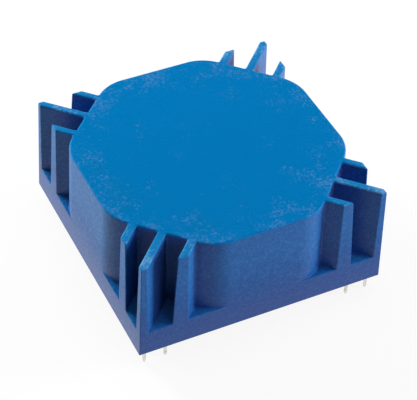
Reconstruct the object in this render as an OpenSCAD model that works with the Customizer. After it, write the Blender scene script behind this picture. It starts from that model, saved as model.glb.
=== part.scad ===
// Encapsulated toroidal transformer for a circuit board: a finned moulded case, open below,
// with a wound toroid potted inside it and eight terminal pins.
// The origin is the middle of the seat, where the case's rim meets the board, and +Z points up.

/* [Case] */
// Width and depth of the square base at the seat
case_w = 60; // [57:0.5:70]
// Height of the case above the seat
case_h = 25.8; // [24:0.1:32]
// Height of the base flange, up to the ledge under the fins
flange_h = 6.5; // [6:0.1:8]
// Width of the octagonal body across its diagonal flats at the seat
body_diag_w = 60.4; // [58:0.1:63]
// Radius of the body's upright corners at the seat
body_corner_r = 10.5; // [7:0.5:13]
// Mould draft of the outer and inner walls, in degrees
draft = 1.4; // [0.8:0.1:1.8]
// Radius of the top edges
edge_r = 0.5; // [0.3:0.05:0.7]
// Flat that breaks the base's upright corners, as a depth along the diagonal
corner_break = 0.3; // [0.1:0.05:0.6]
// Wall of the octagonal body
body_wall = 1.3; // [1:0.1:1.8]
// Wall of the base flange
flange_wall = 1.2; // [0.9:0.05:1.25]
// Thickness of the closed top
top_wall = 1.5; // [1:0.1:2.5]
// Thickness of the ledge over the flange's corners
ledge_wall = 1.3; // [1:0.1:1.6]
// Radius of the cavity's top edge
cavity_edge_r = 0.8; // [0.4:0.1:1]

/* [Fins] */
// Fins at each corner
fin_count = 3; // [1:1:3]
// Thickness of a fin at its top
fin_t = 1.9; // [1.4:0.1:2.4]
// Distance between neighbouring fins, middle to middle
fin_pitch = 6.7; // [5:0.1:7.5]

/* [Terminal pins] */
// Diameter of a pin below the seat
pin_d = 0.8; // [0.6:0.05:0.9]
// Length of a pin below the seat
pin_len = 5; // [3:0.1:8]
// Length of a pin's tapered tip
pin_tip_len = 0.8; // [0.4:0.1:1.5]
// Diameter of the flat at the end of the tip
pin_tip_d = 0.4; // [0.2:0.05:0.5]
// Width of a pin's eight-sided shank across its corners
shank_d = 0.9; // [0.7:0.05:1]
// Distance between the two pins of a pair
pin_pitch = 5.08; // [4:0.01:6]
// Plastic left above a pin's upper end
pin_cap = 0.9; // [0.6:0.1:1.2]
// Diameter of the boss that holds a pin
boss_d = 2; // [1.6:0.1:2.2]
// Height of the bosses' lower ends above the seat
boss_z = 2.3; // [2.2:0.1:2.8]

/* [Toroid] */
// Bore of the bare core
core_bore = 27; // [24:0.5:30]
// Edge radius of the bare core
core_edge_r = 0.5; // [0.3:0.1:1]
// Thickness of the film wrap on the core, at the rim
wrap_t = 0.3; // [0.2:0.05:0.5]
// Build of each primary winding, at the rim
primary_t = 0.6; // [0.5:0.05:0.75]
// Thickness of the tape between primary and secondary, at the rim
barrier_t = 0.4; // [0.2:0.05:0.6]
// Build of each secondary winding, at the rim
secondary_t = 0.6; // [0.5:0.05:0.75]
// Thickness of the tape over the finished toroid, at the rim
tape_t = 0.3; // [0.2:0.05:0.5]

/* [Leads] */
// Diameter of the wire ends of a primary winding
primary_lead_d = 0.5; // [0.3:0.05:0.5]
// Diameter of the wire ends of a secondary winding
secondary_lead_d = 0.6; // [0.3:0.05:0.65]
// Wall of the insulating sleeves
sleeve_wall = 0.3; // [0.2:0.05:0.4]
// Bare wire from the end of a sleeve to its pin's axis
bare_len = 2.5; // [2:0.1:4]
// Diameter of the wire wrapped and soldered round a pin
joint_d = 1.5; // [1.3:0.05:1.55]
// Height of that joint
joint_h = 1.4; // [1.3:0.05:1.5]
// Clearance between a joint and the flange's wall, which puts the two rows of pins 55.88 apart
joint_gap = 0.11; // [0.08:0.01:0.5]

/* [Potting] */
// Resin between the toroid and the case's side, at its thinnest
side_gap = 1.2; // [0.8:0.1:2]
// Resin under the toroid
under_gap = 1; // [0.6:0.1:2]
// Depth of the resin's face inside the rim
resin_recess = 0.6; // [0.3:0.05:0.8]

/* [Hidden] */
$fn = 72;
// Straight steps in a rounded edge
arc_steps = 5;
// How far a shape stands off the face beside it, so that the two cross and never nearly share a plane
trim = 0.01;
// How far a block runs on below the seat before it is cut to length
run_out = 1;

half_w = case_w / 2;
taper = tan(draft);
// Draft along the base's upright corners, where two drafted sides meet
corner_draft = atan(sqrt(2) * taper);
ceiling_z = case_h - top_wall;
pocket_z = flange_h - ledge_wall;

// Layers of the toroid from the core outwards, each at its thickness on the rim
layers = [wrap_t, primary_t, primary_t, barrier_t, secondary_t, secondary_t, tape_t];
layer_count = len(layers);
// Layer in which each of the four windings lies
winding_layer = [2, 3, 5, 6];
toroid_r = min(half_w, body_diag_w / 2) - body_wall - taper * ceiling_z - side_gap;
core_r = toroid_r - rim_build(layer_count);
// The turns crowd together in the bore, so each layer is thicker there than at the rim
crowding = core_r / (core_bore / 2);
toroid_z = resin_recess + under_gap;
core_h = ceiling_z - toroid_z - 2 * face_build(layer_count);
core_z = (ceiling_z + toroid_z) / 2;

pin_count = 8;
pin_top = flange_h - pin_cap;
pin_outer = half_w - flange_wall - joint_gap - joint_d / 2;
pin_inner = pin_outer - pin_pitch;
joint_z = boss_z - joint_h / 2;

case_blue = [0.01, 0.45, 0.71];
resin_black = [0.09, 0.09, 0.1];
steel_grey = [0.5, 0.51, 0.53];
film_white = [0.86, 0.86, 0.8];
film_yellow = [0.86, 0.72, 0.3];
copper_red = [0.66, 0.29, 0.13];
copper_gold = [0.75, 0.4, 0.16];
sleeve_white = [0.9, 0.89, 0.84];
tin_silver = [0.8, 0.8, 0.76];

// Thickness of the first k layers at the rim, in the bore and on the two faces
function rim_build(k) = k == 0 ? 0 : layers[k - 1] + rim_build(k - 1);
function bore_build(k) = rim_build(k) * crowding;
function face_build(k) = (rim_build(k) + bore_build(k)) / 2;

// Outer edge of a drafted wall that stands half from the axis at the seat, up to its rounded top edge
function wall_edge(half, low, high, r, lean) =
    let (arc_z = high - r, arc_x = half - tan(lean) * arc_z - r / cos(lean))
    concat(
        [[half - tan(lean) * low, low]],
        [for (i = [0:arc_steps])
            let (a = lean + (90 - lean) * i / arc_steps)
            [arc_x + r * cos(a), arc_z + r * sin(a)]]
    );

// Section of a drafted slab, the same on both sides of its axis
function slab_section(half, low, high, r, lean) =
    let (edge = wall_edge(half, low, high, r, lean), last = len(edge) - 1)
    concat(edge, [for (i = [last:-1:0]) [-edge[i].x, edge[i].y]]);

// Rounded box from the low corner to the high corner, anticlockwise
function rounded_box(low, high, r) =
    [for (q = [0:3])
        let (x = q == 0 || q == 3 ? high.x - r : low.x + r, y = q < 2 ? high.y - r : low.y + r)
        for (i = [0:arc_steps])
            let (a = 90 * (q + i / arc_steps))
            [x + r * cos(a), y + r * sin(a)]];

// Outline of the toroid's section once k layers are on the core
function ring_edge_r(k) = core_edge_r + rim_build(k);
function ring_low_z(k) = core_z - core_h / 2 - face_build(k);
function ring_rim_r(k) = core_r + rim_build(k);
function ring_outline(k) = rounded_box(
    [core_bore / 2 - bore_build(k), ring_low_z(k)],
    [ring_rim_r(k), core_z + core_h / 2 + face_build(k)],
    ring_edge_r(k)
);

// Place of pin i: 1 to 4 along the front from left to right, 5 to 8 along the back from right to left
function pin_place(i) =
    let (row = i > pin_count / 2 ? 1 : -1, step = row < 0 ? i - 1 : pin_count - i)
    [[-pin_outer, -pin_inner, pin_inner, pin_outer][step], row * pin_outer];

// The winding, from 0 to 3, whose wire ends at pin i, and the layer it lies in
function lead_winding(i) = ceil(i / 2) - 1;
function lead_layer(i) = winding_layer[lead_winding(i)];
function lead_d(i) = lead_winding(i) < 2 ? primary_lead_d : secondary_lead_d;
function sleeve_d(i) = lead_d(i) + 2 * sleeve_wall;

// A wire leaves its winding half way round the lower rim edge, in the middle of the layer
function edge_point(k) =
    let (r = ring_edge_r(k))
    [ring_rim_r(k) - r * (1 - cos(45)), ring_low_z(k) + r * (1 - sin(45))];
function lead_start(i) = (edge_point(lead_layer(i)) + edge_point(lead_layer(i) - 1)) / 2;
function lead_fall(i) = atan((lead_start(i).y - joint_z) / (norm(pin_place(i)) - lead_start(i).x));

// Slab with drafted sides and rounded top edges, along +X from the origin
module slab(half, low, high, r, lean, length) {
    rotate([90, 0, 90])
        linear_extrude(length)
            polygon(slab_section(half, low, high, r, lean));
}

// One upright corner of an octagonal block: a 45 degree turn of the wall with half of each flat beside it.
// The diagonal half is set back and runs on at both ends by a trim.
module octagon_corner(side, diag, r, high, top_r) {
    reach = side - r;
    along = sqrt(2) * (diag - r) - reach;
    overlap = r / 2;
    edge = wall_edge(r, -run_out, high, top_r, draft);
    back_edge = wall_edge(r - trim, -2 * run_out, high + trim, top_r, draft);
    translate([reach, along, 0]) {
        rotate_extrude(angle = 45)
            polygon(concat([[0, -run_out]], edge, [[0, high]]));
        rotate([90, 0, 0])
            linear_extrude(along + overlap)
                polygon(concat([[-r, -run_out]], edge, [[-r, high]]));
        rotate([90, 0, 225])
            linear_extrude((reach - along) / sqrt(2) + overlap)
                polygon(concat([[r, -2 * run_out]], [for (p = back_edge) [-p.x, p.y]], [[r, high + trim]]));
    }
}

// Octagonal block with drafted walls, rounded upright corners and a rounded top edge
module octagon_block(side, diag, r, high, top_r) {
    for (turn = [0:90:270])
        rotate(turn) {
            octagon_corner(side, diag, r, high, top_r);
            mirror([1, -1, 0])
                octagon_corner(side, diag, r, high, top_r);
        }
    translate([0, 0, -run_out])
        cylinder(r = side - r, h = high + run_out);
}

// Square block with drafted sides, broken corners and rounded top edges
module square_block(half, high, top_r, corner) {
    intersection_for (turn = [0:45:135])
        rotate(turn)
            translate([-2 * half, 0, 0])
                if (turn % 90 == 0)
                    slab(half, -run_out, high, top_r, draft, 4 * half);
                else
                    slab(half * sqrt(2) - corner, -2 * run_out, high + trim, top_r, corner_draft, 4 * half);
}

// Everything between two heights
module level(low, high) {
    translate([-case_w, -case_w, low])
        cube([2 * case_w, 2 * case_w, high - low]);
}

// Three fins at each corner, parallel to the diagonal, before the sides trim their ends
module fins() {
    seat_half = fin_t / 2 + taper * case_h;
    for (turn = [45:90:315], n = [0:fin_count - 1])
        rotate(turn)
            translate([half_w / 2, fin_pitch * (n - (fin_count - 1) / 2), 0])
                slab(seat_half, flange_h - ledge_wall / 2, case_h + trim, edge_r, draft, 2 * half_w);
}

// Everything inside the outer skin of the case, as if it were solid
module case_form() {
    intersection() {
        level(0, case_h);
        square_block(half_w, case_h, edge_r, corner_break);
        union() {
            octagon_block(half_w + trim, body_diag_w / 2, body_corner_r, case_h, edge_r);
            fins();
            level(-run_out, flange_h);
        }
    }
}

// Bosses in the flange's four corners, each round two pins and joined by a web to the wall
module pin_bosses() {
    for (side = [-1, 1], end = [-1, 1])
        translate([0, 0, boss_z]) {
            height = pocket_z - boss_z + ledge_wall / 2;
            for (x = [pin_inner, pin_outer])
                translate([side * x, end * pin_outer, 0])
                    cylinder(d = boss_d, h = height);
            translate([side > 0 ? pin_inner : -half_w, end > 0 ? pin_outer : -half_w, 0])
                cube([half_w - pin_inner, half_w - pin_outer, height]);
        }
}

// Hollow of the case from the height low up to the closed top, less the bosses
module cavity(low) {
    difference() {
        union() {
            intersection() {
                level(low, ceiling_z);
                octagon_block(half_w - body_wall, body_diag_w / 2 - body_wall, body_corner_r - body_wall,
                    ceiling_z, cavity_edge_r);
            }
            intersection() {
                level(low, pocket_z);
                square_block(half_w - flange_wall, pocket_z, cavity_edge_r, corner_break);
            }
        }
        pin_bosses();
    }
}

// Toroid with its first k layers, as one solid ring
module ring(k) {
    rotate_extrude()
        polygon(ring_outline(k));
}

// Rod of diameter d along lead i, from the distance start to the distance end out from the toroid's axis
module lead_rod(i, d, start, end) {
    place = pin_place(i);
    from = lead_start(i);
    fall = lead_fall(i);
    rotate(atan2(place.y, place.x))
        translate([start, 0, from.y - (start - from.x) * tan(fall)])
            rotate([0, 90 + fall, 0])
                cylinder(d = d, h = (end - start) / cos(fall));
}

// Space that lead i takes in its sleeve, from the middle of its winding to the sleeve's end
module sleeve_space(i) {
    lead_rod(i, sleeve_d(i), lead_start(i).x, norm(pin_place(i)) - bare_len);
}

// Wire end i and its joint round the pin
module wire_end(i) {
    place = pin_place(i);
    lead_rod(i, lead_d(i), lead_start(i).x, norm(place) - (shank_d + joint_d) / 4);
    translate([place.x, place.y, boss_z - joint_h])
        cylinder(d = joint_d, h = joint_h);
}

// Layer k of the toroid, with the holes for the sleeves that come through it
module layer_shell(k) {
    difference() {
        rotate_extrude()
            difference() {
                polygon(ring_outline(k));
                polygon(ring_outline(k - 1));
            }
        for (i = [1:pin_count])
            if (lead_layer(i) < k)
                sleeve_space(i);
    }
}

// Winding w, from 0 to 3, with its two wire ends
module winding(w) {
    difference() {
        union() {
            layer_shell(winding_layer[w]);
            for (i = [2 * w + 1, 2 * w + 2])
                wire_end(i);
        }
        for (i = [2 * w + 1, 2 * w + 2])
            pin_form(i);
    }
}

// Pin with a round tail below the seat and an eight-sided shank that can't turn in its boss
module pin_form(i) {
    place = pin_place(i);
    translate([place.x, place.y, 0]) {
        rotate_extrude()
            polygon([
                [0, -pin_len], [pin_tip_d / 2, -pin_len], [pin_d / 2, pin_tip_len - pin_len],
                [pin_d / 2, 0], [0, 0]
            ]);
        cylinder(d = shank_d, h = pin_top, $fn = 8);
    }
}

module case() {
    color(case_blue)
        difference() {
            case_form();
            cavity(-run_out / 2);
            for (i = [1:pin_count])
                pin_form(i);
        }
}

module potting_resin() {
    color(resin_black)
        difference() {
            cavity(resin_recess);
            ring(layer_count);
            for (i = [1:pin_count]) {
                sleeve_space(i);
                wire_end(i);
                pin_form(i);
            }
        }
}

module core() {
    color(steel_grey)
        ring(0);
}

module core_wrap() {
    color(film_white)
        layer_shell(1);
}

module primary_winding(n) {
    color(copper_red)
        winding(n - 1);
}

module barrier_tape() {
    color(film_yellow)
        layer_shell(4);
}

module secondary_winding(n) {
    color(copper_gold)
        winding(n + 1);
}

module outer_tape() {
    color(film_yellow)
        layer_shell(layer_count);
}

module terminal_pin(i) {
    color(tin_silver)
        pin_form(i);
}

module lead_sleeve(i) {
    color(sleeve_white)
        difference() {
            sleeve_space(i);
            ring(lead_layer(i));
            wire_end(i);
        }
}

case();
potting_resin();
core();
core_wrap();
primary_winding(1);  // primary_winding_1
primary_winding(2);  // primary_winding_2
barrier_tape();
secondary_winding(1);  // secondary_winding_1
secondary_winding(2);  // secondary_winding_2
outer_tape();
for (i = [1:pin_count]) {
    terminal_pin(i);
    lead_sleeve(i);
}
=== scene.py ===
"""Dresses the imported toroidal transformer: case, potting, pins and wound core, in a studio."""

import logging
import math
from collections.abc import Sequence
from dataclasses import dataclass, field
from enum import Enum
from typing import NamedTuple, Union

import bmesh
import bpy
import numpy as np
from mathutils import Matrix, Vector

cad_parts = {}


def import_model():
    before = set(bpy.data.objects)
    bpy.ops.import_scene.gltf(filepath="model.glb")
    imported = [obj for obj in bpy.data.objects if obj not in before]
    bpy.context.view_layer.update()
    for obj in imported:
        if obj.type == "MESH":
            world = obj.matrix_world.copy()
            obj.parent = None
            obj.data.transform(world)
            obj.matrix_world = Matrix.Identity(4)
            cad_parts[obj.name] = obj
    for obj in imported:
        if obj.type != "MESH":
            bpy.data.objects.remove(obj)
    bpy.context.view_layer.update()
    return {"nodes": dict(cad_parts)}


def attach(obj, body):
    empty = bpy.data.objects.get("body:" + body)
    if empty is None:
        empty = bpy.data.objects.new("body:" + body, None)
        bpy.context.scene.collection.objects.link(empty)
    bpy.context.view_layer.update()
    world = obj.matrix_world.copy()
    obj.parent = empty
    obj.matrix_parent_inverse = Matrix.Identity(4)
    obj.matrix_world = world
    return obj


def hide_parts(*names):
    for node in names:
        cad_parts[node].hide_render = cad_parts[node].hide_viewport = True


LOG = logging.getLogger("transformer")
MM = 0.001
PIN_COUNT = 8

Colour = tuple[float, float, float]
Pair = tuple[float, float]
Faces = list[list[int]]
Piece = bpy.types.Object
Socket = bpy.types.NodeSocket
Value = Union[Socket, float, Colour]
Inputs = dict[Union[str, int], Value]
Layers = tuple[Socket, Socket, Socket]

WHITE: Colour = (1.0, 1.0, 1.0)


def smoothstep(low: float, high: float, value: float) -> float:
    """Rises smoothly from 0, where the value is low, to 1, where it is high."""
    share = min(max((value - low) / (high - low), 0.0), 1.0)
    return share * share * (3.0 - 2.0 * share)


def unit(angle: float) -> np.ndarray:
    """Returns the plan direction at an angle in degrees."""
    return np.array([math.cos(math.radians(angle)), math.sin(math.radians(angle))])


def quarter(steps: int) -> list[float]:
    """Lists the angles of a quarter turn in even steps, in radians."""
    return [math.radians(90.0 * step / steps) for step in range(steps + 1)]


def metres(span: Pair) -> Pair:
    """Turns two lengths in millimetres into metres."""
    return span[0] * MM, span[1] * MM


def ring_quads(first: Sequence[int], second: Sequence[int]) -> Faces:
    """Joins two closed rings with quads, from the numbers of their points."""
    pairs = list(zip(first, second))
    return [[a, b, d, c] for (a, c), (b, d) in zip(pairs, pairs[1:] + pairs[:1])]


def turned(profile: list[Pair], facets: int) -> tuple[np.ndarray, Faces]:
    """Turns a profile round the Z axis.

    Args:
        profile: Radius and height of each point, with the first and last on the axis.
        facets: Steps round the axis.

    Returns:
        The points and the faces of the closed solid.
    """
    points = [[0.0, 0.0, profile[0][1]]]
    angles = [2.0 * math.pi * i / facets for i in range(facets)]
    rings = []
    for r, z in profile[1:-1]:
        rings.append(range(len(points), len(points) + facets))
        points.extend([r * math.cos(a), r * math.sin(a), z] for a in angles)
    last = len(points)
    points.append([0.0, 0.0, profile[-1][1]])
    low, high = rings[0], rings[-1]
    faces = [[0, low[(i + 1) % facets], low[i]] for i in range(facets)]
    for first, second in zip(rings, rings[1:]):
        faces.extend(ring_quads(first, second))
    faces.extend([last, high[i], high[(i + 1) % facets]] for i in range(facets))
    return np.array(points), faces


def make_object(name: str, points: np.ndarray, faces: Faces) -> Piece:
    """Makes a smooth mesh object from points in millimetres.

    Args:
        name: Name of the object and its mesh.
        points: One row of x, y and z for each vertex, in millimetres.
        faces: Vertex numbers of each face.

    Returns:
        The object, linked to the scene, with its normals outward.
    """
    mesh = bpy.data.meshes.new(name)
    mesh.from_pydata((points * MM).tolist(), [], faces)
    work = bmesh.new()
    work.from_mesh(mesh)
    bmesh.ops.recalc_face_normals(work, faces=work.faces)
    work.to_mesh(mesh)
    work.free()
    mesh.polygons.foreach_set("use_smooth", [True] * len(mesh.polygons))
    piece = bpy.data.objects.new(name, mesh)
    bpy.context.scene.collection.objects.link(piece)
    return piece


def harden(piece: Piece, pairs: list[tuple[int, int]]) -> None:
    """Marks some edges of a piece as sharp.

    Args:
        piece: The piece.
        pairs: The two vertex numbers of each sharp edge.
    """
    wanted = {tuple(sorted(pair)) for pair in pairs}
    for edge in piece.data.edges:
        edge.use_edge_sharp = tuple(sorted(edge.vertices)) in wanted


def weigh_normals(piece: Piece) -> None:
    """Lets the large faces of a piece set the normals of the small roundings beside them.

    Args:
        piece: The piece.
    """
    modifier = piece.modifiers.new("face_weighted_normals", "WEIGHTED_NORMAL")
    modifier.mode = "FACE_AREA"
    modifier.weight = 100
    modifier.keep_sharp = True


def dress_with(material: bpy.types.Material, *pieces: Piece) -> None:
    """Gives all faces of some pieces one material.

    Args:
        material: The material.
        pieces: New pieces, or CAD nodes with slots of their own.
    """
    for piece in pieces:
        for slot in piece.material_slots:
            slot.material = material
        if not piece.material_slots:
            piece.data.materials.append(material)


def blank_tree(owner: bpy.types.ID) -> bpy.types.NodeTree:
    """Clears the nodes of a material or a world.

    Args:
        owner: The material or world.

    Returns:
        Its empty tree.
    """
    owner.use_nodes = True
    owner.node_tree.nodes.clear()
    return owner.node_tree


class NodeSheet:
    """Adds and joins the nodes of one shader tree."""

    MIX_INPUTS = (0, 6, 7)  # share and two colours of a Mix node for colours
    MIX_OUTPUT = 2

    def __init__(self, tree: bpy.types.NodeTree) -> None:
        """Keeps the tree that the nodes go into."""
        self.tree = tree

    def add(self, kind: str, inputs: Inputs | None = None, **settings: object) -> bpy.types.Node:
        """Adds a node.

        Args:
            kind: Blender's name of the node's type.
            inputs: Input name or number to a value, or to an output socket to join.
            settings: Attributes of the node to set first.

        Returns:
            The node.
        """
        node = self.tree.nodes.new(kind)
        for name, value in settings.items():
            setattr(node, name, value)
        for key, value in (inputs or {}).items():
            self.feed(node.inputs[key], value)
        return node

    def feed(self, socket: Socket, value: Value) -> None:
        """Joins an output to an input socket, or sets the socket's own value.

        Args:
            socket: The input socket.
            value: An output socket, a number or a colour.
        """
        if isinstance(value, Socket):
            self.tree.links.new(value, socket)
        else:
            socket.default_value = (*value, 1.0) if socket.type == "RGBA" else value

    def math(self, operation: str, *values: Value) -> Socket:
        """Adds a Math node and returns its output."""
        return self.add("ShaderNodeMath", dict(enumerate(values)), operation=operation).outputs[0]

    def split(self, vector: Socket) -> list[Socket]:
        """Adds a Separate XYZ node and returns its three outputs."""
        return list(self.add("ShaderNodeSeparateXYZ", {0: vector}).outputs)

    def ramp(
        self, value: Socket, low: float, high: float, out_low: float = 0.0, out_high: float = 1.0
    ) -> Socket:
        """Adds a clamped Map Range node.

        Args:
            value: Output socket to map.
            low: Value that gives out_low.
            high: Value that gives out_high.
            out_low: Result at low.
            out_high: Result at high.

        Returns:
            The mapped value's socket.
        """
        names = ("Value", "From Min", "From Max", "To Min", "To Max")
        inputs = dict(zip(names, (value, low, high, out_low, out_high)))
        return self.add("ShaderNodeMapRange", inputs, clamp=True).outputs[0]

    def blend(self, share: Value, first: Value, second: Value, kind: str = "MIX") -> Socket:
        """Adds a colour Mix node.

        Args:
            share: Share of the second colour.
            first: Colour at a share of 0.
            second: Colour that is mixed in.
            kind: Blender's name of the way they mix.

        Returns:
            The mixed colour's socket.
        """
        inputs = dict(zip(self.MIX_INPUTS, (share, first, second)))
        node = self.add("ShaderNodeMix", inputs, data_type="RGBA", blend_type=kind)
        return node.outputs[self.MIX_OUTPUT]

    def noise(self, vector: Socket, scale: Value, detail: float, roughness: float) -> Socket:
        """Adds a Noise Texture, with its scale as features in a metre, and returns its value."""
        inputs = {"Vector": vector, "Scale": scale, "Detail": detail, "Roughness": roughness}
        return self.add("ShaderNodeTexNoise", inputs).outputs[0]


class Effect(Enum):
    """Surface effects that several finishes share, each a node group."""

    GRAIN = "spark grain"
    MOTTLE = "mottle"
    TURNS = "wound turns"


class EffectLibrary:
    """Builds each shared node group once. A pair of levels is where a mask begins and is full."""

    FINE_SCALE = 2.9  # how much finer the grain's fine noise is than its coarse one
    FINE_SHARE = 0.45  # share of the grain's height that the fine noise has
    FLECK_LEVELS = (0.5, 0.68)
    PATCH_LEVELS = (0.38, 0.66)
    PATCH_LIFT = 0.24  # how far a full patch brings out its specks
    SPECK_LEVELS = (0.805, 0.985)
    DRIFTS = 60.0  # waves of the turns' wander in a metre
    RIDGE_POWER = 0.5

    def __init__(self) -> None:
        """Makes the three groups."""
        makers = {Effect.GRAIN: self._grain, Effect.MOTTLE: self._mottle, Effect.TURNS: self._turns}
        self.groups = {effect: make() for effect, make in makers.items()}

    @staticmethod
    def _group(
        effect: Effect, floats: list[str], results: list[str]
    ) -> tuple[NodeSheet, bpy.types.NodeOutputs, bpy.types.NodeInputs]:
        """Starts a group with a Vector input, more float inputs and float outputs.

        Args:
            effect: The effect that the group makes.
            floats: Names of the float inputs.
            results: Names of the float outputs.

        Returns:
            The group's nodes, what comes into it and what it puts out.
        """
        tree = bpy.data.node_groups.new(effect.value, "ShaderNodeTree")
        sockets = [("Vector", "INPUT", "NodeSocketVector")]
        sockets += [(name, "INPUT", "NodeSocketFloat") for name in floats]
        sockets += [(name, "OUTPUT", "NodeSocketFloat") for name in results]
        for name, way, kind in sockets:
            tree.interface.new_socket(name=name, in_out=way, socket_type=kind)
        sheet = NodeSheet(tree)
        return sheet, sheet.add("NodeGroupInput").outputs, sheet.add("NodeGroupOutput").inputs

    def _grain(self) -> bpy.types.NodeTree:
        """Makes the fine pitted grain of a spark-eroded mould.

        Returns:
            The group.
        """
        sheet, given, result = self._group(Effect.GRAIN, ["Grains"], ["Height", "Fleck"])
        finer = sheet.math("MULTIPLY", given["Grains"], self.FINE_SCALE)
        fine = sheet.noise(given["Vector"], finer, detail=1.0, roughness=0.5)
        coarse = sheet.noise(given["Vector"], given["Grains"], detail=2.0, roughness=0.6)
        coarse = sheet.math("MULTIPLY", coarse, 1.0 - self.FINE_SHARE)
        height = sheet.math("MULTIPLY_ADD", fine, self.FINE_SHARE, coarse)
        sheet.feed(result["Height"], height)
        sheet.feed(result["Fleck"], sheet.ramp(height, *self.FLECK_LEVELS))
        return sheet.tree

    def _mottle(self) -> bpy.types.NodeTree:
        """Makes specks that gather in patches.

        Returns:
            The group.
        """
        inputs = ["Patches", "Specks", "Cover"]
        sheet, given, result = self._group(Effect.MOTTLE, inputs, ["Mask"])
        patch = sheet.noise(given["Vector"], given["Patches"], detail=3.0, roughness=0.6)
        patch = sheet.ramp(patch, *self.PATCH_LEVELS, 0.0, self.PATCH_LIFT)
        speck = sheet.noise(given["Vector"], given["Specks"], detail=2.0, roughness=0.6)
        level = sheet.math("ADD", speck, sheet.math("ADD", patch, given["Cover"]))
        sheet.feed(result["Mask"], sheet.ramp(level, *self.SPECK_LEVELS))
        return sheet.tree

    def _turns(self) -> bpy.types.NodeTree:
        """Makes turns round the section of a ring: round wires, or the laps of a strip.

        Returns:
            The group.
        """
        sheet, given, result = self._group(Effect.TURNS, ["Turns", "Wander"], ["Ridge", "Lap"])
        x, y, _ = sheet.split(given["Vector"])
        drift = sheet.noise(given["Vector"], self.DRIFTS, detail=2.0, roughness=0.5)
        drift = sheet.math("MULTIPLY", drift, given["Wander"])
        angle = sheet.math("ADD", sheet.math("ARCTAN2", y, x), drift)
        share = sheet.math("DIVIDE", angle, 2.0 * math.pi)
        count = sheet.math("MULTIPLY", share, given["Turns"])
        wave = sheet.math("SINE", sheet.math("MULTIPLY", count, math.pi))
        ridge = sheet.math("POWER", sheet.math("ABSOLUTE", wave), self.RIDGE_POWER)
        sheet.feed(result["Ridge"], ridge)
        sheet.feed(result["Lap"], sheet.math("FRACT", count))
        return sheet.tree


class Specks(NamedTuple):
    """Values of the mottle: patches and specks in a metre, and how far the specks come out."""

    patches: float
    specks: float
    cover: Value


class SurfaceSheet(NodeSheet):
    """The nodes of a piece's material, with the place on the piece and the effects at hand."""

    def __init__(self, tree: bpy.types.NodeTree, effects: EffectLibrary) -> None:
        """Adds the node that gives the place on the piece, in metres.

        Args:
            tree: The tree that the nodes go into.
            effects: The shared node groups.
        """
        super().__init__(tree)
        self.effects = effects
        self.place = self.add("ShaderNodeTexCoord").outputs["Object"]

    def effect(self, effect: Effect, **inputs: Value) -> bpy.types.NodeOutputs:
        """Places a shared group, with its inputs by name, and returns its outputs."""
        settings = {"node_tree": self.effects.groups[effect]}
        return self.add("ShaderNodeGroup", {"Vector": self.place, **inputs}, **settings).outputs

    def mottle(self, specks: Specks) -> Socket:
        """Places the mottle and returns its mask."""
        inputs = {"Patches": specks.patches, "Specks": specks.specks, "Cover": specks.cover}
        return self.effect(Effect.MOTTLE, **inputs)["Mask"]

    def grain(self, grains: float, output: str = "Height") -> Socket:
        """Places the grain, with its grains in a metre, and returns one of its outputs."""
        return self.effect(Effect.GRAIN, Grains=grains)[output]

    def bump(self, height: Socket, depth: float, strength: float) -> Socket:
        """Adds a Bump node, with its depth in millimetres, and returns the normal."""
        inputs = {"Strength": strength, "Distance": depth * MM, "Height": height}
        return self.add("ShaderNodeBump", inputs).outputs[0]


@dataclass(frozen=True, kw_only=True)
class Finish:
    """Base of the finishes: builds a material from the shader inputs that a finish gives.

    Attributes:
        name: Name of the material.
        relief: Depth of its relief in millimetres.
        strength: Strength of that relief.
    """

    name: str
    relief: float
    strength: float

    def material(self, effects: EffectLibrary) -> bpy.types.Material:
        """Builds the material.

        Args:
            effects: The shared node groups.

        Returns:
            The material.
        """
        material = bpy.data.materials.new(self.name)
        sheet = SurfaceSheet(blank_tree(material), effects)
        shader = sheet.add("ShaderNodeBsdfPrincipled", self.sockets(sheet))
        sheet.add("ShaderNodeOutputMaterial", {"Surface": shader.outputs[0]})
        return material

    def sockets(self, sheet: SurfaceSheet) -> Inputs:
        """Gives the shader's inputs. Each finish has its own."""
        raise NotImplementedError


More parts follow.
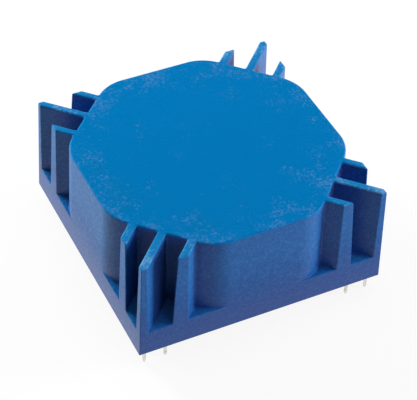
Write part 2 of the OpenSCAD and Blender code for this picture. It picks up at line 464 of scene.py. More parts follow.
@dataclass(frozen=True, kw_only=True)
class MouldedPlastic(Finish):
    """Blue moulded plastic: spark-eroded walls with painted shade near the seat and between the
    fins, and a top painted lighter as painted light, with rubbed specks.

    Heights and widths are in millimetres, and counts are for a metre.
    """

    name: str = "blue_moulded_plastic"
    relief: float = 0.08
    strength: float = 0.6
    # Colours of the walls: their foot, a darker blue that is painted shade towards the bottom, the
    # rest, between the fins, a violet blue that is painted shade in the slots, and the grain's high
    # points
    foot: Colour = (0.0, 0.057, 0.258)
    wall: Colour = (0.008, 0.124, 0.366)
    # Painted shade: a darker, more violet blue in the slots between the fins
    slot: Colour = (0.024, 0.108, 0.34)
    fleck: Colour = (0.03, 0.19, 0.43)
    # Colours of the upward faces, painted lighter and greener than the walls as painted light from
    # above, and of the specks that handling leaves there
    top: Colour = (0.0, 0.198, 0.492)
    rubbed: Colour = (0.05, 0.23, 0.525)
    fin_top: Colour = (0.008, 0.218, 0.51)
    fin_rubbed: Colour = (0.11, 0.35, 0.63)
    # Grain of the walls
    grains: float = 1400.0
    grain_levels: Pair = (0.3, 0.7)  # heights of the grain between which its tone changes
    grain_tone: float = 0.2  # how far it lightens and darkens the colour
    fleck_share: Pair = (0.3, 0.75)  # how much of a fleck shows at the foot and higher up
    # Specks, and how far they come out along the top's edge and on the fins
    patches: float = 170.0
    specks: float = 1500.0
    edge_cover: float = 0.18
    fin_cover: float = 0.02
    # Gloss, with the smoother skin of the foot
    roughness: float = 0.42
    rough_spread: float = 0.06  # how far flecks are smoother and pits rougher
    specular: float = 0.27
    skin_rise: Pair = (3.0, 12.0)  # heights between which the skin fades
    skin: Pair = (1.0, 0.25)  # how much of it there is at those heights
    skin_ior: float = 1.27
    # Where one colour gives way to the next
    level_slope: Pair = (0.2, 0.75)  # upward part of the normal, from a wall to a ledge
    foot_rise: Pair = (4.0, 18.0)  # heights from the foot to the rest of a wall
    top_rise: Pair = (20.0, 24.0)  # heights from a ledge to the top
    top_half: float = 29.4  # half the width of the top, of which the next four are shares
    rub_start: float = 0.55
    fin_full: float = 1.1
    slot_start: float = 0.97
    slot_full: float = 0.88

    def sockets(self, sheet: SurfaceSheet) -> Inputs:
        """Parts the case into walls and top, and gives the shader's inputs.

        Args:
            sheet: The material's nodes.

        Returns:
            The values and sockets by input name.
        """
        x, y, z = sheet.split(sheet.place)
        normal = sheet.split(sheet.add("ShaderNodeNewGeometry").outputs["Normal"])
        level = sheet.ramp(normal[2], *self.level_slope)
        # The upward faces, the top's rounded edge too, take the lighter top colour: painted light
        # from above.
        upward = sheet.math("MULTIPLY", level, sheet.ramp(z, *metres(self.top_rise)))
        # The walls fade from the foot colour, painted shade towards the bottom, up to the wall
        # colour.
        rise = sheet.math("MAXIMUM", level, sheet.ramp(z, *metres(self.foot_rise)))
        inner, fin, slot = self._edge_masks(sheet, x, y)
        grain = sheet.effect(Effect.GRAIN, Grains=self.grains)
        wall = self._wall(sheet, grain, rise, slot)
        rough = (self.roughness + self.rough_spread, self.roughness - self.rough_spread)
        return {
            "Base Color": sheet.blend(upward, wall, self._top(sheet, inner, fin)),
            "Roughness": sheet.ramp(grain["Fleck"], 0.0, 1.0, *rough),
            "Specular IOR Level": self.specular,
            "Coat Weight": sheet.ramp(z, *metres(self.skin_rise), *self.skin),
            "Coat IOR": self.skin_ior,
            "Coat Roughness": self.roughness,
            "Normal": sheet.bump(grain["Height"], self.relief, self.strength),
        }

    def _wall(
        self, sheet: SurfaceSheet, grain: bpy.types.NodeOutputs, rise: Socket, slot: Socket
    ) -> Socket:
        """Colours the walls and ledges, with painted shade at the foot and between the fins.

        Args:
            sheet: The material's nodes.
            grain: What the grain puts out.
            rise: Mask that rises from the foot, out of its painted shade.
            slot: Mask of the slots between the fins, where shade is painted.

        Returns:
            The colour's socket.
        """
        tones = (1.0 - self.grain_tone, 1.0 + self.grain_tone)
        tone = sheet.ramp(grain["Height"], *self.grain_levels, *tones)
        # Painted shade: the foot colour towards the bottom and the slot colour between the fins.
        wall = sheet.blend(slot, sheet.blend(rise, self.foot, self.wall), self.slot)
        wall = sheet.blend(1.0, wall, tone, "MULTIPLY")
        share = sheet.ramp(rise, 0.0, 1.0, *self.fleck_share)
        return sheet.blend(sheet.math("MULTIPLY", grain["Fleck"], share), wall, self.fleck)

    def _top(self, sheet: SurfaceSheet, inner: Socket, fin: Socket) -> Socket:
        """Colours the top and the fins' upper edges, painted lighter than the walls as painted
        light from above, with rubbed specks.

        Args:
            sheet: The material's nodes.
            inner: Mask that rises towards the octagon's edge.
            fin: Mask of the fins.

        Returns:
            The colour's socket.
        """
        cover = sheet.math("MULTIPLY", fin, self.fin_cover)
        cover = sheet.math("MULTIPLY_ADD", inner, self.edge_cover, cover)
        mask = sheet.mottle(Specks(self.patches, self.specks, cover))
        plain = sheet.blend(fin, self.top, self.fin_top)
        return sheet.blend(mask, plain, sheet.blend(fin, self.rubbed, self.fin_rubbed))

    def _edge_masks(self, sheet: SurfaceSheet, x: Socket, y: Socket) -> tuple[Socket, ...]:
        """Finds how near a place is to the octagon's edge, and if it is on a fin or in a slot.

        Args:
            sheet: The material's nodes.
            x: First coordinate of the place, in metres.
            y: Second coordinate.

        Returns:
            A mask that rises from the middle to the octagon's edge, one that rises past it, and
            one that rises from the base's sides into the slots between the fins, where shade is
            painted.
        """
        x, y = sheet.math("ABSOLUTE", x), sheet.math("ABSOLUTE", y)
        diagonal = sheet.math("MULTIPLY", sheet.math("ADD", x, y), math.sqrt(0.5))
        side = sheet.math("MAXIMUM", x, y)
        edge = self.top_half * MM
        beyond = sheet.ramp(diagonal, self.slot_start * edge, edge)
        # Mask of the painted shade in the slots between the fins
        slot = sheet.math("MULTIPLY", beyond, sheet.ramp(side, edge, self.slot_full * edge))
        inner = sheet.ramp(sheet.math("MAXIMUM", side, diagonal), self.rub_start * edge, edge)
        return inner, sheet.ramp(diagonal, edge, self.fin_full * edge), slot


@dataclass(frozen=True, kw_only=True)
class TwoTone(Finish):
    """Base of the finishes that go from one colour to another. Their counts are for a metre.

    Attributes:
        first: Colour where the mask is 0.
        second: Colour where the mask is 1.
        rough: Roughness where the wear is 0 and where it is 1.
        metallic: How far it is a metal.
        coat: Weight of its clear coat.
    """

    first: Colour
    second: Colour
    rough: Pair
    metallic: float = 0.0
    coat: float = 0.0

    def sockets(self, sheet: SurfaceSheet) -> Inputs:
        """Gives the shader's inputs.

        Args:
            sheet: The material's nodes.

        Returns:
            The values and sockets by input name.
        """
        mask, wear, height = self.layers(sheet)
        return {
            "Base Color": sheet.blend(mask, self.first, self.second),
            "Metallic": self.metallic,
            "Roughness": sheet.ramp(wear, 0.0, 1.0, *self.rough),
            "Coat Weight": self.coat,
            "Normal": sheet.bump(height, self.relief, self.strength),
        }

    def layers(self, sheet: SurfaceSheet) -> Layers:
        """Gives the mask, the wear and the height. Each finish has its own."""
        raise NotImplementedError


@dataclass(frozen=True, kw_only=True)
class PottingResin(TwoTone):
    """Dull black cast resin with a faint skin of ripples and dusty specks."""

    name: str = "black_potting_resin"
    relief: float = 0.12
    strength: float = 0.5
    first: Colour = (0.009, 0.009, 0.011)
    second: Colour = (0.024, 0.024, 0.026)
    rough: Pair = (0.42, 0.5)
    dust: Specks = Specks(90.0, 900.0, 0.09)
    grains: float = 900.0
    grain_share: float = 0.2  # height of the grain against that of the ripples
    ripples: float = 140.0

    def layers(self, sheet: SurfaceSheet) -> Layers:
        """Lays dusty specks over ripples.

        Args:
            sheet: The material's nodes.

        Returns:
            The mask, the wear and the height.
        """
        mask = sheet.mottle(self.dust)
        ripple = sheet.noise(sheet.place, self.ripples, detail=2.0, roughness=0.4)
        height = sheet.math("MULTIPLY_ADD", sheet.grain(self.grains), self.grain_share, ripple)
        return mask, mask, height


@dataclass(frozen=True, kw_only=True)
class TinPlate(TwoTone):
    """Hot-dipped tin on a pin: bright, faintly warm, with a soft uneven skin."""

    name: str = "tinned_pin"
    relief: float = 0.02
    strength: float = 0.4
    first: Colour = (0.72, 0.72, 0.67)
    second: Colour = (0.5, 0.5, 0.46)
    rough: Pair = (0.24, 0.44)
    metallic: float = 1.0
    dulled: Specks = Specks(700.0, 3500.0, 0.18)
    grains: float = 2500.0

    def layers(self, sheet: SurfaceSheet) -> Layers:
        """Lays dull specks over a grained skin."""
        mask = sheet.mottle(self.dulled)
        return mask, mask, sheet.grain(self.grains)


@dataclass(frozen=True, kw_only=True)
class EnamelledWire(TwoTone):
    """A layer of enamelled copper wire, each turn a rounded ridge across the ring, darkened towards
    its grooves as painted shade.
    """

    relief: float = 0.25
    strength: float = 0.8
    rough: Pair = (0.46, 0.26)
    metallic: float = 0.9
    coat: float = 0.6
    turns: float  # round the ring
    wander: float = 0.02  # how far a turn strays, in radians

    def layers(self, sheet: SurfaceSheet) -> Layers:
        """Lays the turns side by side."""
        ridge = sheet.effect(Effect.TURNS, Turns=self.turns, Wander=self.wander)["Ridge"]
        return ridge, ridge, ridge


@dataclass(frozen=True, kw_only=True)
class PolyesterFilm(TwoTone):
    """Thin polyester film wound round the ring in overlapping laps."""

    relief: float = 0.06
    strength: float = 0.6
    rough: Pair = (0.22, 0.37)
    laps: float  # round the ring
    wander: float = 0.12  # how far a lap strays, in radians
    lap_edge: Pair = (0.45, 0.55)  # shares of a lap between which the overlap begins
    creases: float = 420.0
    crease_levels: Pair = (0.3, 0.7)
    crease_share: float = 0.25  # height of the creases against that of a lap

    def layers(self, sheet: SurfaceSheet) -> Layers:
        """Lays the laps and creases them.

        Args:
            sheet: The material's nodes.

        Returns:
            The mask, the wear and the height.
        """
        lap = sheet.effect(Effect.TURNS, Turns=self.laps, Wander=self.wander)["Lap"]
        crease = sheet.noise(sheet.place, self.creases, detail=3.0, roughness=0.6)
        height = sheet.math("MULTIPLY_ADD", crease, self.crease_share, lap)
        return sheet.ramp(lap, *self.lap_edge), sheet.ramp(crease, *self.crease_levels), height


@dataclass(frozen=True, kw_only=True)
class WoundSteel(TwoTone):
    """Grain-oriented steel strip wound like a clock spring, seen as fine rings on its faces."""

    name: str = "wound_core_steel"
    relief: float = 0.04
    strength: float = 0.5
    first: Colour = (0.09, 0.09, 0.1)
    second: Colour = (0.3, 0.31, 0.33)
    rough: Pair = (0.36, 0.51)
    metallic: float = 1.0
    strip: float = 0.35  # thickness of the strip as it shows, in millimetres
    seam: float = 0.25  # share of that thickness that the dark seam takes
    grains: float = 1800.0

    def layers(self, sheet: SurfaceSheet) -> Layers:
        """Lays the strip's turns round the axis.

        Args:
            sheet: The material's nodes.

        Returns:
            The mask, the wear and the height.
        """
        squares = [sheet.math("POWER", part, 2.0) for part in sheet.split(sheet.place)[:2]]
        radius = sheet.math("SQRT", sheet.math("ADD", *squares))
        layer = sheet.math("FRACT", sheet.math("DIVIDE", radius, self.strip * MM))
        seam = sheet.ramp(layer, 0.0, self.seam)
        return seam, sheet.grain(self.grains, "Fleck"), seam


@dataclass(frozen=True, kw_only=True)
class VarnishedSleeve(TwoTone):
    """Varnished glass-fibre sleeve with a fine braid."""

    name: str = "varnished_sleeve"
    relief: float = 0.06
    strength: float = 0.6
    first: Colour = (0.78, 0.76, 0.68)
    second: Colour = (0.55, 0.52, 0.44)
    rough: Pair = (0.5, 0.7)
    bare: Specks = Specks(300.0, 2200.0, 0.18)
    threads: float = 3500.0
    thread_edge: float = 0.6  # distance from a thread's middle at which the braid is roughest

    def layers(self, sheet: SurfaceSheet) -> Layers:
        """Lays the braid and the specks of bare thread.

        Args:
            sheet: The material's nodes.

        Returns:
            The mask, the wear and the height.
        """
        inputs = {"Vector": sheet.place, "Scale": self.threads}
        braid = sheet.add("ShaderNodeTexVoronoi", inputs).outputs["Distance"]
        return sheet.mottle(self.bare), sheet.ramp(braid, 0.0, self.thread_edge), braid


class Turn(Enum):
    """Which way the case's outline bends at a corner."""

    OUTWARD = 1
    INWARD = -1


@dataclass(frozen=True)
class Flat:
    """One straight run of the case's plan outline.

    Attributes:
        angle: Direction of its outward normal, in degrees.
        support: Distance of its line from the axis at the seat.
        flush: Whether it lies in a side of the square base.
    """

    angle: float
    support: float
    flush: bool = False


@dataclass(frozen=True)
class Bend:
    """Rounded corner between one flat and the next.

    Attributes:
        turn: Which way it bends.
        radius: Its radius.
        steps: Straight steps in it.
        tapers: Whether the radius shrinks with the draft.
        begin: Share of the turn at which its points begin.
        end: Share of the turn at which its points end.
    """

    turn: Turn
    radius: float
    steps: int = 5
    tapers: bool = False
    begin: float = 0.0
    end: float = 1.0


class OutlinePoint(NamedTuple):
    """One point of the outline, or the arrays of all of them."""

    # Normals and distances from the axis of the flats before and after the point's bend
    x1: float
    y1: float
    x2: float
    y2: float
    h1: float
    h2: float
    # The bend, and the direction of the point from its centre
    radius: float
    turn: float
    tapers: float
    dx: float
    dy: float
    # How far the rounding at the body's foot reaches here, and 1 on a corner of the base
    weight: float
    corner: float


class RimPoint(NamedTuple):
    """One point round the square base at the ledge.

    Attributes:
        number: Its number in the outline, or -1 on the edge of a ledge.
        normal: Outward normal of its side.
        along: Its place along the side.
        rounding: How far its edge is rounded, from 0 to 1.
    """

    number: int
    normal: np.ndarray
    along: float
    rounding: float


@dataclass
class MouldedCase:
    """The finned case, lofted from one plan outline that shrinks with the draft.

    Sizes are in millimetres and angles in degrees. A knee is the middle point of a rounding, down
    and in, as shares of its radius.
    """

    # Base and body, measured at the seat
    width: float = 60.0
    height: float = 25.8
    ledge: float = 6.5  # height of the ledges round the body
    diag_width: float = 60.4  # width across the octagon's slanted sides
    corner_r: float = 10.5
    draft: float = 1.4
    # Fins, measured at the top
    fin_t: float = 1.9
    fin_pitch: float = 6.7
    # Upright edges: the base's corners, the fins' blunt and sharp ones, and the fins' roots
    tip_r: float = 0.2
    blunt_r: float = 0.45
    sharp_r: float = 0.2
    root_r: float = 0.4
    # Level edges: round the top, at the body's foot, on the ledges and on the rim
    edge_r: float = 0.5
    foot_r: float = 0.35
    ledge_edge_r: float = 0.25
    rim_r: float = 0.15
    # Walls, with the roundings under the ledges and under the top
    body_wall: float = 1.3
    flange_wall: float = 1.2
    top_wall: float = 1.5
    ledge_wall: float = 1.3
    pocket_r: float = 0.4
    pocket_knee: Pair = (0.25, 0.3)
    cavity_r: float = 0.8
    cavity_knee: Pair = (0.3, 0.3)
    cavity_gap: float = 0.02  # least step from the pocket under the ledges to the cavity
    # Where the ledges' edges and the body's foot begin to be rounded
    fin_clear: float = 0.35  # distance from a fin
    body_clear: float = 4.2  # distance from the body
    rounding_run: float = 1.0  # distance over which the rounding grows
    foot_turn: Pair = (8.0, 26.0)  # turn from the side over which the foot's rounding grows
    hard_share: float = 0.5  # share of a rounding below which its edge stays sharp
    corner_stop: float = 6.0  # part of a body corner's turn that the fin beside it takes
    least_r: float = 0.03  # least radius that an inset leaves
    # Steps in the roundings, and points along a ledge
    corner_steps: int = 26
    sharp_steps: int = 8
    foot_steps: int = 5
    edge_steps: int = 6
    ledge_steps: int = 3
    rim_steps: int = 4
    ledge_points: int = 18
    # Filled while the case is built; slots go from the first outline point in a slot to its last
    line: OutlinePoint = field(init=False)
    slots: dict[int, int] = field(init=False)
    points: list[list[float]] = field(init=False, default_factory=list)
    faces: Faces = field(init=False, default_factory=list)
    hard_edges: list[tuple[int, int]] = field(init=False, default_factory=list)

    @property
    def taper(self) -> float:
        """Inward lean of a wall for each millimetre of height."""
        return math.tan(math.radians(self.draft))

    def quadrant(self) -> list[tuple[Flat, Bend]]:
        """Lists the outline of one corner, from the middle of one side to the middle of the next.

        Returns:
            Each flat with the bend after it.
        """
        half = self.width / 2.0
        fin = self.fin_t / 2.0 + self.taper * self.height
        side, next_side = Flat(0.0, half, True), Flat(90.0, half, True)
        diag = Flat(45.0, self.diag_width / 2.0)
        root = Bend(Turn.INWARD, self.root_r)
        blunt = Bend(Turn.OUTWARD, self.blunt_r)
        sharp = Bend(Turn.OUTWARD, self.sharp_r, self.sharp_steps)
        tip = Bend(Turn.OUTWARD, self.tip_r, self.sharp_steps)
        body = (Turn.OUTWARD, self.corner_r, self.corner_steps, True)
        clear = self.corner_stop / (diag.angle - side.angle)
        return [
            (side, Bend(*body, 0.0, 1.0 - clear)),
            (diag, root),
            (Flat(-45.0, self.fin_pitch + fin), blunt),
            (side, sharp),
            (Flat(135.0, fin - self.fin_pitch), root),
            (diag, root),
            (Flat(-45.0, fin), blunt),
            (side, tip),
            (next_side, blunt),
            (Flat(135.0, fin), root),
            (diag, root),
            (Flat(-45.0, fin - self.fin_pitch), sharp),
            (next_side, blunt),
            (Flat(135.0, self.fin_pitch + fin), root),
            (diag, Bend(*body, clear, 1.0)),
        ]

    def _trace(self) -> None:
        """Turns the four corners into the outline's points, and finds the slots between fins."""
        runs = [
            (Flat(flat.angle + 90.0 * corner, flat.support, flat.flush), bend)
            for corner in range(4)
            for flat, bend in self.quadrant()
        ]
        line: list[OutlinePoint] = []
        starts, ends = [], []
        for number, (flat, bend) in enumerate(runs):
            after = runs[(number + 1) % len(runs)][0]
            if flat.flush and not after.flush:
                starts.append(len(line))
            line.extend(self._bend_points(flat, bend, after))
            if after.flush and not flat.flush:
                ends.append(len(line) - 1)
        self.line = OutlinePoint(*np.array(line).T)
        self.slots = dict(zip(starts, ends))

    def _bend_points(self, flat: Flat, bend: Bend, after: Flat) -> list[OutlinePoint]:
        """Lists the points of one bend.

        Args:
            flat: The flat before it.
            bend: The bend.
            after: The flat after it.

        Returns:
            The points.
        """
        sweep = (after.angle - flat.angle + 180.0) % 360.0 - 180.0
        flats = (*unit(flat.angle), *unit(after.angle), flat.support, after.support)
        form = (bend.radius, bend.turn.value, float(bend.tapers))
        points = []
        for step in range(bend.steps + 1):
            share = bend.begin + (bend.end - bend.begin) * step / bend.steps
            weight = 1.0 if bend.turn is Turn.INWARD else 0.0
            if bend.tapers:
                past = abs(sweep) * (share if flat.flush else 1.0 - share)
                weight = smoothstep(*self.foot_turn, past)
            direction = unit(flat.angle + sweep * share)
            corner = float(flat.flush and after.flush)
            points.append(OutlinePoint(*flats, *form, *direction, weight, corner))
        return points

    def outline(self, z: float, inset: np.ndarray | float = 0.0) -> np.ndarray:
        """Works out the outline at a height.

        Args:
            z: Height above the seat.
            inset: Distance by which each point moves into the plastic.

        Returns:
            One row of x and y for each point.
        """
        x1, y1, x2, y2, h1, h2, r, turn, tapers, dx, dy, *_ = self.line
        inset = np.broadcast_to(inset, x1.shape)
        shrink = self.taper * z
        outward = turn > 0
        least = np.maximum(r - tapers * shrink - inset, self.least_r)
        radius = np.where(outward, least, r + inset)
        back = np.where(outward, -inset - radius, r)
        a, b = h1 - shrink + back, h2 - shrink + back
        det = x1 * y2 - x2 * y1
        cx, cy = (a * y2 - b * y1) / det, (x1 * b - x2 * a) / det
        return np.stack([cx + turn * radius * dx, cy + turn * radius * dy], 1)

    def _add(self, plan: Sequence[Sequence[float]], z: float) -> list[int]:
        """Adds a level ring of points.

        Args:
            plan: One row of x and y for each point.
            z: Height of the ring.

        Returns:
            The points' numbers.
        """
        first = len(self.points)
        self.points.extend([x, y, z] for x, y in plan)
        return list(range(first, len(self.points)))

    def _join(self, ring: list[int], plan: np.ndarray, z: float) -> list[int]:
        """Adds a ring after the last one and joins the two.

        Args:
            ring: Point numbers of the last ring.
            plan: Places of the new ring.
            z: Height of the new ring.

        Returns:
            Point numbers of the new ring.
        """
        new = self._add(plan, z)
        self.faces.extend(ring_quads(ring, new))
        return new

    def _loft_walls(self) -> list[int]:
        """Lofts body and fins from the ledge to the top and closes the top.

        Returns:
            Point numbers of the ring on the ledge.
        """
        levels: list[tuple[float, np.ndarray | float]] = []
        for turn in quarter(self.foot_steps):
            flare = -self.foot_r * (1.0 - math.sin(turn)) * self.line.weight
            levels.append((self.ledge + self.foot_r * (1.0 - math.cos(turn)), flare))
        levels.append(((self.ledge + self.height) / 2.0, 0.0))
        lean = math.radians(self.draft)
        arc_z = self.height - self.edge_r
        for step in range(self.edge_steps + 1):
            turn = lean + (math.pi / 2.0 - lean) * step / self.edge_steps
            z = arc_z + self.edge_r * math.sin(turn)
            inset = self.edge_r * (1.0 / math.cos(lean) - math.cos(turn))
            levels.append((z, inset - self.taper * (z - arc_z)))
        z, inset = levels[0]
        foot = ring = self._add(self.outline(z, inset), z)
        for z, inset in levels[1:]:
            ring = self._join(ring, self.outline(z, inset), z)
        self.faces.append(ring)
        return foot

    def _rim_points(self, foot: np.ndarray) -> list[RimPoint]:
        """Lists the points round the square base at the ledge.

        Args:
            foot: The outline on the ledge.

        Returns:
            The points in order.
        """
        rim: list[RimPoint] = []
        number = 0
        while number < len(foot):
            point = foot[number]
            axis = int(np.argmax(np.abs(point)))
            normal = np.zeros(2)
            normal[axis] = math.copysign(1.0, point[axis])
            along = np.array([-normal[1], normal[0]])
            start = float(point @ along)
            rim.append(RimPoint(number, normal, start, 0.0))
            if number not in self.slots:
                number += 1
                continue
            end = self.slots[number]
            stop = float(foot[end] @ along)
            for k in range(1, self.ledge_points + 1):
                place = start + (stop - start) * k / (self.ledge_points + 1)
                share = self._rounding(number, abs(place - start))
                share *= self._rounding(end, abs(stop - place))
                rim.append(RimPoint(-1, normal, place, share))
            number = end
        return rim

    def _rounding(self, number: int, distance: float) -> float:
        """Says how far a ledge's edge is rounded at a distance from its end at an outline point."""
        clear = self.body_clear if self.line.tapers[number] else self.fin_clear
        return smoothstep(clear, clear + self.rounding_run, distance)

    def _base_plan(self, rim: list[RimPoint], z: float, inset: np.ndarray) -> np.ndarray:
        """Places the base's points at a height.

        Args:
            rim: The points round the base.
            z: Height above the seat.
            inset: Distance by which each point moves in from its side.

        Returns:
            One row of x and y for each point.
        """
        even = float(inset.max()) if inset.min() == inset.max() else 0.0
        full = self.outline(z, even)
        plan = []
        for point, depth in zip(rim, inset):
            if point.number >= 0 and self.line.corner[point.number]:
                plan.append(full[point.number])
            else:
                side = self.width / 2.0 - self.taper * z - depth
                along = np.array([-point.normal[1], point.normal[0]]) * point.along
                plan.append(point.normal * side + along)
        return np.array(plan)

    def _loft_flange(self, foot: list[int]) -> None:
        """Makes the ledges, the square base, its rim and the hollow inside.

        Args:
            foot: Point numbers of the ring on the ledge.
        """
        rim = self._rim_points(np.array([self.points[number][:2] for number in foot]))
        rounding = np.array([point.rounding for point in rim]) * self.ledge_edge_r
        ring: list[int] = []
        for point, place in zip(rim, self._base_plan(rim, self.ledge, rounding)):
            on_foot = point.number >= 0
            ring += [foot[point.number]] if on_foot else self._add([place], self.ledge)
        self._add_ledges(rim, ring, foot)
        for turn in quarter(self.ledge_steps)[1:]:
            z = self.ledge - self.ledge_edge_r * (1.0 - math.cos(turn))
            ring = self._join(ring, self._base_plan(rim, z, rounding * (1.0 - math.sin(turn))), z)
        for turn in quarter(self.rim_steps):
            z = self.rim_r * (1.0 - math.sin(turn))
            plan = self._base_plan(rim, z, np.full(len(rim), self.rim_r * (1.0 - math.cos(turn))))
            ring = self._join(ring, plan, z)
        self._loft_hollow(ring, plan)

    def _add_ledges(self, rim: list[RimPoint], ring: list[int], foot: list[int]) -> None:
        """Adds the flat ledge of each slot.

        Args:
            rim: The points round the base.
            ring: Their point numbers at the ledge.
            foot: Point numbers of the ring on the ledge.
        """
        for place, point in enumerate(rim):
            if point.number not in self.slots:
                continue
            slot = slice(point.number, self.slots[point.number] + 1)
            edge = slice(place + 1, place + 1 + self.ledge_points)
            inner, outer = foot[slot], ring[edge]
            self.faces.append(inner + outer[::-1])
            self._keep_hard(inner, self.line.weight[slot])
            shares = [0.0, *(other.rounding for other in rim[edge]), 0.0]
            self._keep_hard([inner[0], *outer, inner[-1]], shares)

    def _keep_hard(self, path: list[int], shares: Sequence[float]) -> None:
        """Lists the edges of a path that are hardly rounded as sharp.

        Args:
            path: The path's point numbers.
            shares: How far each point is rounded, from 0 to 1.
        """
        for k in range(len(path) - 1):
            if max(shares[k], shares[k + 1]) < self.hard_share:
                self.hard_edges.append((path[k], path[k + 1]))

    def _octagon(self, directions: np.ndarray, z: float, wall: float) -> np.ndarray:
        """Works out how far the octagon reaches in each direction.

        Args:
            directions: Angles in radians.
            z: Height above the seat.
            wall: Distance inside the body's outer face.

        Returns:
            The reach at each angle.
        """
        inset = wall + self.taper * z
        side = self.width / 2.0 - inset
        diag = self.diag_width / 2.0 - inset
        r = self.corner_r - inset
        reach = side - r
        along = math.sqrt(2.0) * (diag - r) - reach
        eighth = math.pi / 4.0
        folded = np.abs((directions + eighth) % (2.0 * eighth) - eighth)
        dot = np.cos(folded) * reach + np.sin(folded) * along
        arc = dot + np.sqrt(np.maximum(dot * dot - reach * reach - along * along + r * r, 0.0))
        flat = side / np.cos(folded)
        slant = diag / np.cos(eighth - folded)
        on_flat = flat * np.sin(folded) <= along
        on_slant = slant * np.sin(eighth - folded) <= (reach - along) / math.sqrt(2.0)
        return np.where(on_flat, flat, np.where(on_slant, slant, arc))

    @staticmethod
    def _rounded(roof: float, r: float, knee: Pair) -> list[Pair]:
        """Lists the height and inset of a wall's points where it is rounded into a roof."""
        return [(roof - r, 0.0), (roof - knee[0] * r, knee[1] * r), (roof, r)]

    def _loft_hollow(self, ring: list[int], rim: np.ndarray) -> None:
        """Lofts the hollow from the rim to the closed top.

        Args:
            ring: Point numbers of the rim's outer ring.
            rim: Their places.
        """
        directions = np.arctan2(rim[:, 1], rim[:, 0])
        outward = np.stack([np.cos(directions), np.sin(directions)], 1)
        rim_half = self.width / 2.0 - self.rim_r
        inner = self.width / 2.0 - self.flange_wall
        pocket, ceiling = self.ledge - self.ledge_wall, self.height - self.top_wall
        for z, inset in [(0.0, 0.0), *self._rounded(pocket, self.pocket_r, self.pocket_knee)]:
            plan = rim * ((inner - self.taper * z - inset) / rim_half)
            ring = self._join(ring, plan, z)
        limit = np.linalg.norm(plan, axis=1) - self.cavity_gap
        for z, inset in [(pocket, 0.0), *self._rounded(ceiling, self.cavity_r, self.cavity_knee)]:
            reach = np.minimum(self._octagon(directions, z, self.body_wall), limit) - inset
            ring = self._join(ring, outward * reach[:, None], z)
        self.faces.append(ring)

    def build(self) -> Piece:
        """Builds the case, hides the CAD node that it takes the place of and attaches it to the
        root body.

        Returns:
            The case.
        """
        self._trace()
        self._loft_flange(self._loft_walls())
        piece = make_object("finned_case", np.array(self.points), self.faces)
        harden(piece, self.hard_edges)
        weigh_normals(piece)
        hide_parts("case")
        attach(piece, "root")
        return piece

    def dress(self, piece: Piece, finish: MouldedPlastic, effects: EffectLibrary) -> None:
        """Gives the case its finish."""
        dress_with(finish.material(effects), piece)


@dataclass
class TerminalPins:
    """The eight tinned pins, turned from one profile. Sizes are in millimetres."""

    pin_r: float = 0.4
    tip_r: float = 0.2
    tip_len: float = 0.8
    crown: float = 0.12  # height of the rounding at the tip's end
    crown_steps: int = 3
    shoulder: Pair = (0.93, 0.985)  # radii before and at the taper's end, as shares of the pin's
    shoulder_run: Pair = (0.12, 0.15)  # lengths that are rounded before and after that end
    length: float = 5.0  # below the seat
    waist: float = -0.4  # height of the ring near the seat
    top: float = 5.6  # height of the upper end, in the resin
    facets: int = 28
    outer: float = 27.94  # distance of a row, and of its outer pins, from the middle
    pitch: float = 5.08

    def places(self) -> list[Pair]:
        """Lists the pins' places: the front row from left to right, then the back row in turn.

        Returns:
            The x and y of each pin.
        """
        inner = self.outer - self.pitch
        front = [(x, -self.outer) for x in (-self.outer, -inner, inner, self.outer)]
        return front + [(-x, self.outer) for x, _ in front]

    def profile(self) -> list[Pair]:
        """Lists the pin's radius and height from its tip upwards.

        Returns:
            The profile's points.
        """
        tip = [
            (self.tip_r * math.sin(turn), self.crown * (1.0 - math.cos(turn)) - self.length)
            for turn in quarter(self.crown_steps)
        ]
        end = self.tip_len - self.length
        return tip + [
            (self.shoulder[0] * self.pin_r, end - self.shoulder_run[0]),
            (self.shoulder[1] * self.pin_r, end),
            (self.pin_r, end + self.shoulder_run[1]),
            (self.pin_r, self.waist),
            (self.pin_r, self.top),
            (0.0, self.top),
        ]

    def build(self) -> list[Piece]:
        """Builds the pins, hides the CAD node of each and attaches them to the root body.

        Returns:
            The pins.
        """
        points, faces = turned(self.profile(), self.facets)
        pins = []
        for number, (x, y) in enumerate(self.places(), 1):
            pin = make_object(f"tinned_pin_{number}", points + np.array([x, y, 0.0]), faces)
            weigh_normals(pin)
            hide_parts(f"terminal_pin_{number}")
            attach(pin, "root")
            pins.append(pin)
        return pins

    def dress(self, pins: list[Piece], finish: TinPlate, effects: EffectLibrary) -> None:
        """Gives every pin the same tin."""
        dress_with(finish.material(effects), *pins)


